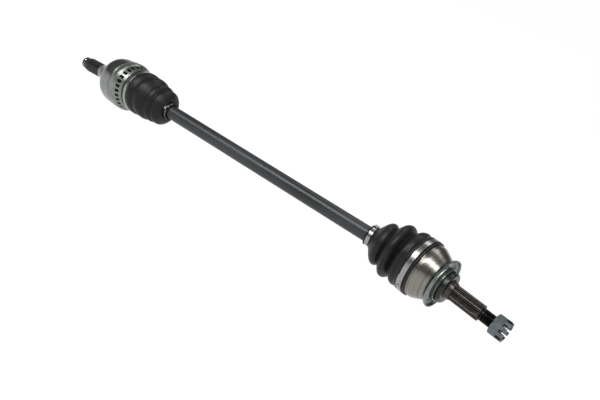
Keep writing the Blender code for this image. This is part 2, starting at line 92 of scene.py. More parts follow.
class Look:
    """A procedural material: one Principled shader with its colour, roughness and relief from nodes."""

    def __init__(self, name, metallic, **sockets):
        self.material = bpy.data.materials.new(name)
        self.material.use_nodes = True
        self.tree = self.material.node_tree
        self.shader = self.tree.nodes["Principled BSDF"]
        self.shader.inputs["Metallic"].default_value = metallic
        for socket, value in sockets.items():
            self.shader.inputs[socket.replace("_", " ")].default_value = value
        self.coordinates = self.tree.nodes.new("ShaderNodeTexCoord")
        self.along = self._along()
        self.height = None

    def _along(self):
        """Distance along the outline of a turned piece, in metres."""
        picked = self.tree.nodes.new("ShaderNodeUVMap")
        picked.uv_map = UV_NAME
        split = self.tree.nodes.new("ShaderNodeSeparateXYZ")
        self.tree.links.new(picked.outputs["UV"], split.inputs[0])
        return split.outputs["Y"]

    def noise(self, scale, detail=3.0, roughness=0.55, stretch=None):
        """Cloudy noise over the piece; stretch scales its X, Y and Z."""
        texture = self.tree.nodes.new("ShaderNodeTexNoise")
        texture.inputs["Scale"].default_value = scale
        texture.inputs["Detail"].default_value = detail
        texture.inputs["Roughness"].default_value = roughness
        source = self.coordinates.outputs["Object"]
        if stretch:
            mapping = self.tree.nodes.new("ShaderNodeMapping")
            mapping.inputs["Scale"].default_value = stretch
            self.tree.links.new(source, mapping.inputs["Vector"])
            source = mapping.outputs["Vector"]
        self.tree.links.new(source, texture.inputs["Vector"])
        return texture.outputs["Fac"]

    def rings(self, per_metre, detail=2.0):
        """Noise that changes only along a turned piece, like the marks of a lathe tool."""
        texture = self.tree.nodes.new("ShaderNodeTexNoise")
        texture.noise_dimensions = "1D"
        texture.inputs["Scale"].default_value = per_metre
        texture.inputs["Detail"].default_value = detail
        self.tree.links.new(self.along, texture.inputs["W"])
        return texture.outputs["Fac"]

    def radius(self):
        """Distance from the piece's own X axis, in metres."""
        flat = self.tree.nodes.new("ShaderNodeVectorMath")
        flat.operation = "MULTIPLY"
        flat.inputs[1].default_value = (0.0, 1.0, 1.0)
        self.tree.links.new(self.coordinates.outputs["Object"], flat.inputs[0])
        length = self.tree.nodes.new("ShaderNodeVectorMath")
        length.operation = "LENGTH"
        self.tree.links.new(flat.outputs["Vector"], length.inputs[0])
        return length.outputs["Value"]

    def mapped(self, value, low, high, to_low=0.0, to_high=1.0):
        spread = self.tree.nodes.new("ShaderNodeMapRange")
        spread.inputs["From Min"].default_value = low
        spread.inputs["From Max"].default_value = high
        spread.inputs["To Min"].default_value = to_low
        spread.inputs["To Max"].default_value = to_high
        self.tree.links.new(value, spread.inputs["Value"])
        return spread.outputs["Result"]

    def mixed(self, share, first, second, blend="MIX"):
        """first and second are colours or sockets."""
        mix = self.tree.nodes.new("ShaderNodeMix")
        mix.data_type = "RGBA"
        mix.blend_type = blend
        if isinstance(share, float):
            mix.inputs["Factor"].default_value = share
        else:
            self.tree.links.new(share, mix.inputs["Factor"])
        for socket, value in ((mix.inputs[6], first), (mix.inputs[7], second)):
            if isinstance(value, tuple):
                socket.default_value = (*value, 1.0)
            else:
                self.tree.links.new(value, socket)
        return mix.outputs[2]

    def colour(self, value):
        self.tree.links.new(value, self.shader.inputs["Base Color"])
        return self

    def roughness(self, value, low, high):
        self.tree.links.new(self.mapped(value, 0.25, 0.75, low, high), self.shader.inputs["Roughness"])
        return self

    def relief(self, value, depth_mm):
        """Adds a layer of bump that is depth_mm deep."""
        bump = self.tree.nodes.new("ShaderNodeBump")
        bump.inputs["Distance"].default_value = depth_mm * MM
        self.tree.links.new(value, bump.inputs["Height"])
        if self.height:
            self.tree.links.new(self.height, bump.inputs["Normal"])
        self.height = bump.outputs["Normal"]
        self.tree.links.new(self.height, self.shader.inputs["Normal"])
        return self


def shade(colour, factor):
    """The colour made darker or lighter by factor."""
    return tuple(c * factor for c in colour)


def turned_steel(name, dark, light, rough, ring_depth=0.012, blotch=0.35):
    """Bright metal off the lathe, with tool rings, a little staining and handling marks."""
    look = Look(name, 1.0)
    rings = look.rings(2600.0)
    broad = look.rings(260.0, 4.0)
    cloud = look.noise(38.0, 5.0, 0.6)
    specks = look.mapped(look.noise(900.0, 2.0, 0.7), 0.66, 0.78)
    base = look.mixed(look.mapped(broad, 0.3, 0.7), dark, light)
    stain = look.mixed(look.mapped(cloud, 0.42, 0.72, 0.0, blotch), base, shade(dark, 0.55))
    look.colour(look.mixed(specks, stain, shade(dark, 0.4)))
    look.roughness(rings, *rough)
    look.relief(cloud, 0.05).relief(rings, ring_depth)
    return look.material


def plated_zinc(name, dark, light, rough):
    """Dull passivated zinc: fine grain, soft cloudy tone and small bright scuffs."""
    look = Look(name, 0.9)
    cloud = look.noise(55.0, 6.0, 0.65)
    grain = look.noise(2200.0, 2.0, 0.7)
    scuff = look.mapped(look.noise(160.0, 5.0, 0.7, (1.0, 1.0, 4.0)), 0.6, 0.72, 0.0, 0.6)
    base = look.mixed(look.mapped(cloud, 0.35, 0.68), dark, light)
    look.colour(look.mixed(scuff, base, shade(light, 1.5)))
    look.roughness(cloud, *rough)
    look.relief(cloud, 0.06).relief(look.rings(1500.0), 0.008).relief(grain, 0.01)
    return look.material


def painted_bar():
    """The bar's thin black paint over forged steel: a satin film with mill marks and faint rubs."""
    look = Look("bar_black", 0.3, Coat_Weight=0.05, Coat_Roughness=0.3)
    cloud = look.noise(16.0, 6.0, 0.65, (0.35, 1.0, 1.0))
    grain = look.noise(520.0, 4.0, 0.7)
    drawn = look.noise(240.0, 3.0, 0.6, (0.05, 1.0, 1.0))
    base = look.mixed(look.mapped(cloud, 0.32, 0.7), (0.010, 0.011, 0.012), (0.026, 0.029, 0.031))
    rub = look.mapped(look.noise(60.0, 6.0, 0.75, (0.6, 1.0, 1.0)), 0.62, 0.78, 0.0, 0.7)
    look.colour(look.mixed(rub, base, (0.075, 0.08, 0.085)))
    look.roughness(cloud, 0.30, 0.48)
    look.relief(cloud, 0.12).relief(drawn, 0.03).relief(grain, 0.02)
    return look.material


def oiled_black(name, root, crest, low_r, high_r, rough=(0.25, 0.42)):
    """Oiled black finish on machined steel, lighter where the surface stands proud: partly wear, partly a painted
    highlight on the crests.
    """
    look = Look(name, 0.85)
    # Lighter towards the tooth crests: partly wear, partly a painted highlight.
    crest_highlight_and_wear = look.mapped(look.radius(), low_r * MM, high_r * MM)
    cloud = look.noise(120.0, 5.0, 0.65)
    base = look.mixed(crest_highlight_and_wear, root, crest)
    look.colour(look.mixed(look.mapped(cloud, 0.5, 0.75, 0.0, 0.5), base, shade(crest, 1.6)))
    look.roughness(cloud, *rough)
    look.relief(cloud, 0.04).relief(look.rings(1800.0), 0.008)
    return look.material


def rubber():
    """Moulded black neoprene: fine grain and a faint bloom."""
    look = Look("boot_rubber", 0.0, Specular_IOR_Level=0.22)
    cloud = look.noise(45.0, 5.0, 0.65)
    grain = look.noise(1500.0, 3.0, 0.6)
    bloom = look.mapped(look.noise(18.0, 6.0, 0.7), 0.5, 0.8, 0.0, 0.6)
    base = look.mixed(look.mapped(cloud, 0.35, 0.7), (0.0045, 0.0045, 0.0052), (0.009, 0.009, 0.010))
    look.colour(look.mixed(bloom, base, (0.015, 0.015, 0.016)))
    look.roughness(cloud, 0.36, 0.52)
    look.relief(cloud, 0.10).relief(look.rings(900.0, 3.0), 0.02).relief(grain, 0.03)
    return look.material


def clamp_strip():
    """Rolled stainless strip, brushed along its length."""
    look = Look("clamp_steel", 1.0)
    brushed = look.rings(5200.0, 3.0)
    cloud = look.noise(90.0, 4.0, 0.6)
    base = look.mixed(look.mapped(brushed, 0.3, 0.7), (0.20, 0.20, 0.197), (0.36, 0.36, 0.355))
    look.colour(look.mixed(look.mapped(cloud, 0.5, 0.75, 0.0, 0.5), base, (0.18, 0.18, 0.175)))
    look.roughness(cloud, 0.20, 0.34)
    look.relief(brushed, 0.006).relief(cloud, 0.03)
    return look.material


def bearing_steel():
    """Ground and hardened running surfaces with a film of grease."""
    look = Look("bearing_steel", 1.0, Coat_Weight=0.4, Coat_Roughness=0.15)
    cloud = look.noise(140.0, 4.0, 0.6)
    base = look.mixed(look.mapped(cloud, 0.35, 0.7), (0.42, 0.42, 0.43), (0.62, 0.62, 0.63))
    look.colour(base)
    look.roughness(cloud, 0.10, 0.22)
    look.relief(cloud, 0.02)
    return look.material


MACHINED = turned_steel("machined_steel", (0.17, 0.173, 0.172), (0.27, 0.275, 0.273), (0.16, 0.30))
SATIN = turned_steel("satin_steel", (0.165, 0.157, 0.142), (0.25, 0.238, 0.215), (0.20, 0.32), 0.008)
BOSS_BLACK_AND_NECK_SHADE = turned_steel("boss_black_and_neck_shade", (0.030, 0.034, 0.031), (0.062, 0.068, 0.062), (0.30, 0.42), 0.008)
RING_ZINC = plated_zinc("ring_zinc", (0.13, 0.146, 0.134), (0.25, 0.27, 0.25), (0.28, 0.42))
SHIELD_ZINC = plated_zinc("shield_zinc", (0.11, 0.132, 0.122), (0.22, 0.252, 0.236), (0.24, 0.38))
NUT_ZINC = plated_zinc("nut_zinc", (0.085, 0.099, 0.104), (0.15, 0.17, 0.178), (0.34, 0.48))
BAR_BLACK = painted_bar()
STUB_BLACK = oiled_black("stub_black", (0.010, 0.010, 0.010), (0.055, 0.053, 0.05), 11.6, 13.4)
SPINDLE_BLACK = oiled_black("spindle_black", (0.008, 0.007, 0.006), (0.052, 0.046, 0.040), 11.4, 12.4)
RUBBER = rubber()
CLAMP = clamp_strip()
BEARING = bearing_steel()

# ---------------------------------------------------------------- mesh helpers


def rounded(outline, radius=0.4, steps=3, closed=False):
    """The outline with each corner replaced by a small arc; radius is cut back on short sides."""
    points = [np.array(point[:2], float) for point in outline]
    count = len(points)
    result = []
    for i, here in enumerate(points):
        if not closed and i in (0, count - 1):
            result.append((*here, *outline[i][2:]))
            continue
        before, after = points[i - 1], points[(i + 1) % count]
        back, ahead = before - here, after - here
        back_length, ahead_length = np.linalg.norm(back), np.linalg.norm(ahead)
        cut = min(radius, back_length * 0.45, ahead_length * 0.45)
        start, end = here + back / back_length * cut, here + ahead / ahead_length * cut
        for step in range(steps + 1):
            t = step / steps
            spot = (1 - t) ** 2 * start + 2 * t * (1 - t) * here + t**2 * end
            result.append((*spot, *outline[i][2:]))
    return result


def smooth_curve(points, steps=3, closed=False):
    """A Catmull-Rom curve through the points."""
    given = np.array(points, float)
    count = len(given)
    if closed:
        padded = np.vstack([given[-1:], given, given[:2]])
    else:
        padded = np.vstack([2 * given[:1] - given[1:2], given, 2 * given[-1:] - given[-2:-1]])
    curve = []
    for i in range(count if closed else count - 1):
        a, b, c, d = padded[i : i + 4]
        for step in range(steps):
            t = step / steps
            square = (2 * a - 5 * b + 4 * c - d) * t**2
            cube = (3 * b - a - 3 * c + d) * t**3
            curve.append(0.5 * (2 * b + (c - a) * t + square + cube))
    if not closed:
        curve.append(given[-1])
    return np.array(curve)


def grid_mesh(name, rows, lengths, ring=False, keep_rows=False):
    """A mesh over rows of points that wrap round. With ring, the last row joins the first one.
    lengths is each row's distance along the outline, in metres, for the lathe marks."""
    row_count, columns = rows.shape[:2]
    bands = row_count if ring else row_count - 1
    lengths = list(lengths) + [lengths[-1] + np.linalg.norm(rows[0, 0] - rows[-1, 0])]
    faces = []
    uvs = []
    for i in range(bands):
        below = (i + 1) % row_count
        for j in range(columns):
            right = (j + 1) % columns
            faces.append((i * columns + j, i * columns + right, below * columns + right, below * columns + j))
            left_u, right_u = j / columns, (j + 1) / columns
            top, bottom = lengths[i], lengths[i + 1]
            uvs += [left_u, top, right_u, top, right_u, bottom, left_u, bottom]
    mesh = bpy.data.meshes.new(name)
    mesh.from_pydata(rows.reshape(-1, 3).tolist(), [], faces)
    layer = mesh.uv_layers.new(name=UV_NAME)
    layer.data.foreach_set("uv", uvs)
    if not keep_rows:
        clean(mesh)
    return mesh


def clean(mesh):
    """Joins the points that meet on an axis and turns every face outwards."""
    bm = bmesh.new()
    bm.from_mesh(mesh)
    bmesh.ops.remove_doubles(bm, verts=bm.verts, dist=1e-6)
    bmesh.ops.recalc_face_normals(bm, faces=bm.faces)
    bm.to_mesh(mesh)
    bm.free()


def outline_lengths(outline):
    flat = np.array([point[:2] for point in outline], float)
    steps = np.linalg.norm(np.diff(flat, axis=0), axis=1)
    return np.concatenate([[0.0], np.cumsum(steps)]) * MM


def add_object(name, mesh, matrix, look, sharp=35.0):
    piece = bpy.data.objects.new(name, mesh)
    bpy.context.scene.collection.objects.link(piece)
    piece.matrix_world = matrix
    mesh.materials.append(look)
    mesh.shade_smooth()
    if sharp:
        mesh.set_sharp_from_angle(angle=math.radians(sharp))
    return piece


def turned(name, outline, matrix, look, sides=96, ring=False, sharp=35.0):
    """A turned piece. A point's third item, if any, is a function (position, radius, angles) that gives
    the radius at each angle, for teeth, threads and tracks. An outline that isn't a ring starts and
    ends on the axis."""
    angles = np.arange(sides) * 2.0 * math.pi / sides
    rows = np.empty((len(outline), sides, 3))
    for row, (u, r, *shape) in zip(rows, outline):
        radii = shape[0](u, r, angles) if shape else np.full(sides, float(r))
        row[:, 0] = u
        row[:, 1] = radii * np.cos(angles)
        row[:, 2] = radii * np.sin(angles)
    mesh = grid_mesh(name, rows * MM, outline_lengths(outline), ring)
    return add_object(name, mesh, matrix, look, sharp)


def divided(start, end, r_start, r_end, count, shape):
    """Points from start to end, so that a shaped stretch has enough rows."""
    return [
        (start + (end - start) * i / count, r_start + (r_end - r_start) * i / count, shape)
        for i in range(count + 1)
    ]


def smooth_share(value, start, end):
    t = np.clip((value - start) / (end - start), 0.0, 1.0)
    return t * t * (3.0 - 2.0 * t)


def applied(piece):
    """Applies the piece's modifiers."""
    graph = bpy.context.evaluated_depsgraph_get()
    mesh = bpy.data.meshes.new_from_object(piece.evaluated_get(graph))
    piece.modifiers.clear()
    piece.data = mesh
    return piece


def cut_by(piece, cutter):
    """Cuts the cutter out of the piece and removes the cutter."""
    tool = piece.modifiers.new("cut", "BOOLEAN")
    tool.operation = "DIFFERENCE"
    tool.solver = "EXACT"
    tool.object = cutter
    bpy.context.view_layer.update()
    applied(piece)
    bpy.data.objects.remove(cutter, do_unlink=True)
    piece.data.shade_smooth()
    piece.data.set_sharp_from_angle(angle=math.radians(35.0))
    return piece


def finish_piece(piece, body, slot, *nodes):
    """Hangs a finished piece on its body and hides the CAD nodes it replaces."""
    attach(piece, body)
    if nodes:
        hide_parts(*nodes)
    return piece


# ---------------------------------------------------------------- teeth, threads and tracks


def teeth(count, root, tip, start, end, runout=3.0):
    """Spline teeth cut into a blank, with the cutter rising out of the work at start."""

    def shape(u, r, angles):
        phase = (angles * count / (2.0 * math.pi)) % 1.0
        land = np.clip((np.abs(phase - 0.5) - 0.14) / 0.20, 0.0, 1.0)
        floor = root + (tip - root) * land
        rise = (1.0 - smooth_share(u, start, start + runout)) * (tip - root) * 1.5
        if u > end:
            return np.full_like(angles, r)
        return np.minimum(r, floor + rise)

    return shape


def thread(pitch, depth, major):
    """A vee thread cut into a blank."""

    def shape(u, r, angles):
        phase = (u / pitch - angles / (2.0 * math.pi)) % 1.0
        flank = np.clip(np.abs(phase - 0.5) * 2.4 - 0.2, 0.0, 1.0)
        return np.minimum(r, major - depth * (1.0 - flank))

    return shape


def inner_thread(pitch, depth, minor):
    """A vee thread inside a bore."""

    def shape(u, r, angles):
        phase = (u / pitch - angles / (2.0 * math.pi)) % 1.0
        flank = np.clip(np.abs(phase - 0.5) * 2.4 - 0.2, 0.0, 1.0)
        return np.maximum(r, minor + depth * (1.0 - flank))

    return shape


# ---------------------------------------------------------------- bar

BAR_R = 12.5


def build_bar():
    groove = [(15.0, 11.5), (18.5, 12.5)]
    outline = [(-15.0, 0.0), (-15.0, 10.7), (-14.2, 11.5), (-13.3, 11.5), (-13.3, 10.4), (-11.5, 10.4), (-11.5, 11.5)]
    outline += groove
    outline += [(SPACING * share, BAR_R) for share in (0.1, 0.3, 0.5, 0.7, 0.9)]
    outline += [(SPACING - u, r) for u, r in reversed(groove)]
    outline += [(SPACING + 11.0, 11.5), (SPACING + 11.0, 10.4), (SPACING + 13.2, 10.4), (SPACING + 13.2, 11.5)]
    outline += [(SPACING + 14.2, 11.5), (SPACING + 15.0, 10.7), (SPACING + 15.0, 0.0)]
    bar = turned("axle_bar", rounded(outline, 0.5), BAR, BAR_BLACK, sides=72)
    finish_piece(bar, "shaft", "dark_steel", "axle_shaft")


# ---------------------------------------------------------------- wheel end

HUB_FACE = 54.0
THREAD_PITCH = 1.5
THREAD_MAJOR = 9.85
THREAD_DEPTH = 0.92
STEM_END = 139.5
PIN_HOLE_PLACE = 131.0
PIN_HOLE_R = 2.0
WHEEL_TEETH = 26
CAVITY_R = 32.3
TRACK_R = 10.3
BALL_PITCH_R = 28.0


def ball_tracks(u, r, angles):
    """The bell's inner wall: a sphere with six ball tracks, all centred on the joint."""
    radii = np.full_like(angles, r)
    tries = np.linspace(20.0, 39.0, 96)[:, None]
    for index in range(3):
        turn = angles - math.pi * index / 3.0 - math.pi / 2.0
        across = tries * np.sin(turn)
        towards = np.sqrt(u * u + (tries * np.cos(turn)) ** 2) - BALL_PITCH_R
        inside = towards**2 + across**2 < TRACK_R**2
        radii = np.maximum(radii, np.where(inside, tries, 0.0).max(axis=0))
    return radii


def build_bell():
    outside = [(-12.0, 40.8), (-10.5, 42.2), (8.2, 42.2), (8.8, 43.1), (9.4, 43.1), (9.7, 42.5), (10.3, 42.5)]
    outside += [(10.6, 43.4), (12.0, 43.4), (12.3, 42.7), (12.9, 42.7), (13.2, 43.4), (15.0, 43.2)]
    dome = smooth_curve([(15.0, 43.2), (17.8, 42.5), (26.0, 38.4), (33.8, 34.1), (36.2, 31.6)], 5)
    boss = [(36.6, 28.6), (36.6, 24.4), (44.0, 24.4), (44.0, 0.0)]
    outside = rounded(outside[:-1] + [tuple(point) for point in dome] + boss, 0.25, 2)
    inside = [(38.4, 0.0), (38.4, 20.3), (25.2, 20.3)]
    for step in range(13):
        u = 25.0 - 37.0 * step / 12.0
        inside.append((u, math.sqrt(CAVITY_R**2 - u * u), ball_tracks))
    bell = turned("joint_bell", inside + outside, WHEEL, SATIN, sides=144)
    finish_piece(bell, "wheel_end", "satin_steel", "outer_housing")


def build_boss():
    outline = [(43.5, 0.0), (43.5, 24.3), (52.5, 24.3), (HUB_FACE, 22.9), (HUB_FACE, 16.0), (HUB_FACE - 1.0, 0.0)]
    boss = turned("bearing_boss", rounded(outline, 0.4), WHEEL, BOSS_BLACK_AND_NECK_SHADE)
    finish_piece(boss, "wheel_end", "dark_steel", "outer_housing")


def build_spindle():
    spline = teeth(WHEEL_TEETH, 11.3, 12.4, 58.0, 108.4)
    outline = [(HUB_FACE - 2.0, 0.0), (HUB_FACE - 2.0, 16.4), (HUB_FACE + 0.4, 16.4), (57.0, 14.2), (60.6, 13.5)]
    outline += [(61.2, 12.4, spline)]
    outline += divided(61.6, 66.0, 12.4, 12.4, 6, spline)
    outline += divided(70.0, 105.9, 12.4, 12.4, 5, spline)
    outline += [(106.9, 11.6, spline), (107.2, 11.0), (107.6, 9.3), (110.3, 9.2), (111.0, 9.7)]
    grooves = thread(THREAD_PITCH, THREAD_DEPTH, THREAD_MAJOR)
    outline += divided(111.2, STEM_END - 1.4, THREAD_MAJOR, THREAD_MAJOR, 176, grooves)
    outline += [(STEM_END - 0.4, 8.9), (STEM_END, 8.4), (STEM_END, 3.2), (STEM_END - 2.2, 0.0)]
    spindle = turned("wheel_spindle", outline, WHEEL, SPINDLE_BLACK, sides=208, sharp=28.0)
    drill = [(-15.0, 0.0), (-15.0, PIN_HOLE_R), (15.0, PIN_HOLE_R), (15.0, 0.0)]
    across = Matrix.Translation((PIN_HOLE_PLACE * MM, 0.0, 0.0)) @ Matrix.Rotation(math.pi / 2.0, 4, "Y")
    hole = turned("pin_hole", drill, WHEEL @ across, SPINDLE_BLACK, 24)
    cut_by(spindle, hole)
    finish_piece(spindle, "wheel_end", "dark_steel", "outer_housing")


def build_shield():
    outside = [(45.0, 26.2), (38.6, 26.2), (37.6, 29.6), (37.5, 33.4), (38.6, 36.2), (41.8, 37.2)]
    rim = [(43.2, 37.9), (43.4, 39.1), (41.8, 39.6)]
    back = [(37.4, 38.0), (36.7, 34.6), (36.7, 29.0), (37.5, 24.8), (45.0, 24.8)]
    outline = rounded(outside + rim + back, 1.4, 4, True)
    shield = turned("dust_shield_disc", outline, WHEEL, SHIELD_ZINC, 120, ring=True)
    finish_piece(shield, "wheel_end", "zinc_shield", "dust_shield")


NUT_START = 125.7
NUT_HEIGHT = 20.8
NUT_BODY_HEIGHT = 12.0
NUT_FLATS = 30.0
NUT_TURN = 30.0
NUT_SLOTS = 10
NUT_SLOT_HALF = 2.1
NUT_SLOT_TURN = 6.0
NUT_SLOT_REACH = 22.0


def build_nut():
    end = NUT_START + NUT_HEIGHT
    apothem = NUT_FLATS / 2.0

    def hexagon(u, r, angles):
        sector = (np.degrees(angles) - NUT_TURN) % 60.0 - 30.0
        return np.minimum(r, apothem / np.cos(np.radians(sector)))

    thread_shape = inner_thread(THREAD_PITCH, THREAD_DEPTH, 9.95)
    outside = [(NUT_START, 14.2, hexagon), (NUT_START + 0.5, 15.4, hexagon), (NUT_START + 1.9, 17.6, hexagon)]
    outside += divided(NUT_START + 4.0, end - 3.0, 17.6, 17.6, 4, hexagon)
    outside += [(end - 1.6, 17.4, hexagon), (end - 0.5, 16.0, hexagon), (end, 14.8, hexagon)]
    inside = [(end, 11.4), (end - 1.2, 10.2)]
    inside += divided(end - 1.3, NUT_START + 1.3, 9.95, 9.95, 104, thread_shape)
    inside += [(NUT_START + 1.2, 10.2), (NUT_START, 11.2)]
    nut = turned("castle_nut", outside + inside, WHEEL, NUT_ZINC, sides=180, ring=True, sharp=25.0)
    for index in range(NUT_SLOTS // 2):
        floor = NUT_START + NUT_BODY_HEIGHT
        section = [(end + 2.0, -NUT_SLOT_HALF), (end + 2.0, NUT_SLOT_HALF)]
        for step in range(7):
            angle = math.radians(90.0 - 180.0 * step / 6)
            section.append((floor + 1.2 - 1.2 * math.cos(angle), NUT_SLOT_HALF * math.sin(angle)))
        rows = np.array([[(u, y, z) for u, y in section] for z in (-NUT_SLOT_REACH, NUT_SLOT_REACH)])
        count = len(section)
        points = rows.reshape(-1, 3) * MM
        sides = [(j, (j + 1) % count, count + (j + 1) % count, count + j) for j in range(count)]
        mesh = bpy.data.meshes.new("slot")
        ends = [tuple(range(count)), tuple(range(2 * count - 1, count - 1, -1))]
        mesh.from_pydata(points.tolist(), [], [*ends, *sides])
        clean(mesh)
        spin = Matrix.Rotation(math.radians(NUT_SLOT_TURN + 360.0 / NUT_SLOTS * index), 4, "X")
        cut_by(nut, add_object("slot", mesh, WHEEL @ spin, NUT_ZINC))
    finish_piece(nut, "axle_nut", "zinc_nut", "axle_nut")


# ---------------------------------------------------------------- gearbox end

MOUTH = 49.3
LOBE_HALF = 14.9
LOBE_REACH = 29.8
LOBE_FLOOR = -33.5
BORE_R = 19.6
RING_SEAT_END = 13.2
GEARBOX_TEETH = 27


def roller_tracks(u, r, angles):
    """The housing's inner wall: a bore with three flat-sided roller tracks."""
    radii = np.full_like(angles, r)
    for index in range(3):
        turn = (angles - math.pi / 2.0 - 2.0 * math.pi * index / 3.0 + math.pi) % (2.0 * math.pi) - math.pi
        facing = np.abs(turn) < math.pi / 2.0
        reach = LOBE_REACH / np.maximum(np.cos(turn), 1e-3)
        side = LOBE_HALF / np.maximum(np.abs(np.sin(turn)), 1e-3)
        radii = np.maximum(radii, np.where(facing, np.minimum(reach, side), 0.0))
    return radii


def build_inner_housing():
    neck = [(-78.0, 0.0), (-78.0, 13.6), (-75.5, 14.3), (-70.0, 15.2)]
    cone = smooth_curve([(-70.0, 15.2), (-64.0, 17.5), (-56.0, 22.3), (-48.0, 27.5), (-40.0, 32.8), (-32.5, 37.8)], 4)
    dome = smooth_curve([(-32.5, 37.8), (-28.5, 40.6), (-25.0, 42.4), (-19.0, 43.6), (-10.0, 44.2)], 4)
    seat = [(-2.0, 44.3), (2.6, 44.3), (3.2, 43.7), (3.3, 42.4), (13.0, 42.4), (17.0, 39.4), (19.5, 35.2)]
    seat += [(35.0, 35.2), (35.6, 36.0), (MOUTH - 1, 36.0)]
    outside = neck[:-1] + [tuple(p) for p in cone[:-1]] + [tuple(p) for p in dome] + seat
    outside = rounded(outside + [(MOUTH, 35.0)], 0.3, 2)
    inside = [(MOUTH, 32.9), (43.9, 31.0), (43.9, 33.8), (41.7, 33.8), (41.7, 30.6), (34.0, 28.2, roller_tracks)]
    inside += divided(30.0, 6.4, 26.9, BORE_R, 5, roller_tracks)
    inside += divided(0.0, LOBE_FLOOR, BORE_R, BORE_R, 5, roller_tracks)
    inside += [(LOBE_FLOOR - 0.1, BORE_R), (LOBE_FLOOR - 2.5, BORE_R), (LOBE_FLOOR - 2.5, 0.0)]
    housing = turned("tripod_housing", outside + inside, HOUSING, MACHINED, sides=144)
    # The faces past the ring seat (the neck under the tone ring, the mouth and the bore) take the dark boss material
    # as painted shade, so the ring's windows look dark.
    housing.data.materials.append(BOSS_BLACK_AND_NECK_SHADE)
    for face in housing.data.polygons:
        if face.center.x > RING_SEAT_END * MM:
            face.material_index = 1
    finish_piece(housing, "gearbox_end", "machined_steel", "inner_housing")


def build_stub():
    spline = teeth(GEARBOX_TEETH, 12.3, 13.5, -200.0, -72.0)

    def toothed(u, r, angles):
        rise = smooth_share(u, -78.5, -74.5) * 1.8
        return np.minimum(r, spline(u, r, angles) + rise)

    outline = [(-136.0, 0.0), (-136.0, 3.4), (-136.0, 9.4), (-134.2, 11.4), (-129.1, 11.6), (-129.0, 10.6)]
    outline += [(-127.0, 10.6), (-126.9, 11.6), (-121.4, 11.8), (-121.2, 12.4, toothed), (-120.2, 13.5, toothed)]
    outline += divided(-119.0, -82.0, 13.5, 13.5, 7, toothed)
    outline += divided(-80.0, -74.0, 13.5, 13.5, 7, toothed)
    outline += [(-73.0, 13.9), (-72.0, 0.0)]
    stub = turned("gearbox_stub", outline, HOUSING, STUB_BLACK, sides=216, sharp=28.0)
    finish_piece(stub, "gearbox_end", "dark_steel", "inner_housing")


RING_WINDOWS = 29
WINDOW_PLACE = 25.0
WINDOW_HALF_LENGTH = 4.5
WINDOW_HALF_WIDTH = 2.8
WINDOW_POINTS = 12
WINDOW_SQUARENESS = 0.45


def build_tone_ring():
    outside = [(3.7, 45.0), (4.2, 45.2), (5.6, 45.2), (5.9, 44.7), (6.5, 44.7), (6.8, 45.2), (14.8, 45.2)]
    cone = [(17.5, 44.4), (19.5, 42.6), (34.7, 38.7), (35.3, 37.9), (34.7, 37.1)]
    inside = [(32.8, 37.1), (18.9, 40.55), (13.2, 42.75), (3.7, 42.75)]
    ring = turned("tone_ring", rounded(outside + cone + inside, 0.5, 3, True), HOUSING, RING_ZINC, 174, ring=True)
    windows = bmesh.new()
    for index in range(RING_WINDOWS):
        spin = Matrix.Rotation(2.0 * math.pi * (index + 0.5) / RING_WINDOWS, 3, "X")
        rim = []
        for step in range(WINDOW_POINTS):
            angle = 2.0 * math.pi * (step + 0.5) / WINDOW_POINTS
            sine, cosine = math.sin(angle), math.cos(angle)
            across = WINDOW_HALF_WIDTH * math.copysign(abs(sine) ** WINDOW_SQUARENESS, sine)
            along = WINDOW_HALF_LENGTH * math.copysign(abs(cosine) ** WINDOW_SQUARENESS, cosine)
            rim.append((WINDOW_PLACE + along, across))
        low = [windows.verts.new(spin @ (Vector((u, y, 36.0)) * MM)) for u, y in rim]
        high = [windows.verts.new(spin @ (Vector((u, y, 45.0)) * MM)) for u, y in rim]
        windows.faces.new(low)
        windows.faces.new(high)
        for j in range(WINDOW_POINTS):
            after = (j + 1) % WINDOW_POINTS
            windows.faces.new((low[j], low[after], high[after], high[j]))
    bmesh.ops.recalc_face_normals(windows, faces=windows.faces)
    mesh = bpy.data.meshes.new("windows")
    windows.to_mesh(mesh)
    windows.free()
    cut_by(ring, add_object("windows", mesh, HOUSING, RING_ZINC))
    finish_piece(ring, "gearbox_end", "zinc_shield", "abs_tone_ring")


def snap_ring(name, place, radius, wire, matrix, gap, turn=0.0):
    """A round wire ring with a gap, its ends slightly rounded."""
    swing = np.radians(np.linspace(turn + gap / 2.0, turn + 360.0 - gap / 2.0, 72))
    widths = np.full(len(swing), wire)
    widths[0] = widths[-1] = 0.0
    widths[1] = widths[-2] = wire * 0.8
    around = np.linspace(0.0, 2.0 * math.pi, 12, endpoint=False)
    rows = np.empty((len(swing), len(around), 3))
    for row, angle, width in zip(rows, swing, widths):
        r = radius + width * np.cos(around)
        row[:, 0] = place + width * np.sin(around)
        row[:, 1] = r * math.cos(angle)
        row[:, 2] = r * math.sin(angle)
    lengths = (swing - swing[0]) * radius * MM
    return add_object(name, grid_mesh(name, rows * MM, lengths), matrix, BEARING, 50.0)


# ---------------------------------------------------------------- clamps


def strip(path, low, high, thickness, ring=False):
    """Rows of a flat strip of metal that follows a path of (angle, radius) points round an axis."""
    centre = np.array([(r * math.cos(math.radians(a)), r * math.sin(math.radians(a))) for a, r in path])
    if ring:
        slope = np.roll(centre, -1, axis=0) - np.roll(centre, 1, axis=0)
    else:
        slope = np.gradient(centre, axis=0)
    slope /= np.linalg.norm(slope, axis=1)[:, None]
    out = np.stack([slope[:, 1], -slope[:, 0]], axis=1)
    half, edge = thickness / 2.0, thickness * 0.3
    section = [(low, -half + edge), (low, half - edge), (low + edge, half), ((low + high) / 2.0, half)]
    section += [(high - edge, half), (high, half - edge), (high, -half + edge), (high - edge, -half)]
    section += [((low + high) / 2.0, -half), (low + edge, -half)]
    rows = np.empty((len(centre), len(section), 3))
    for row, spot, outward in zip(rows, centre, out):
        for point, (u, lift) in zip(row, section):
            point[:] = (u, *(spot + outward * lift))
    return rows


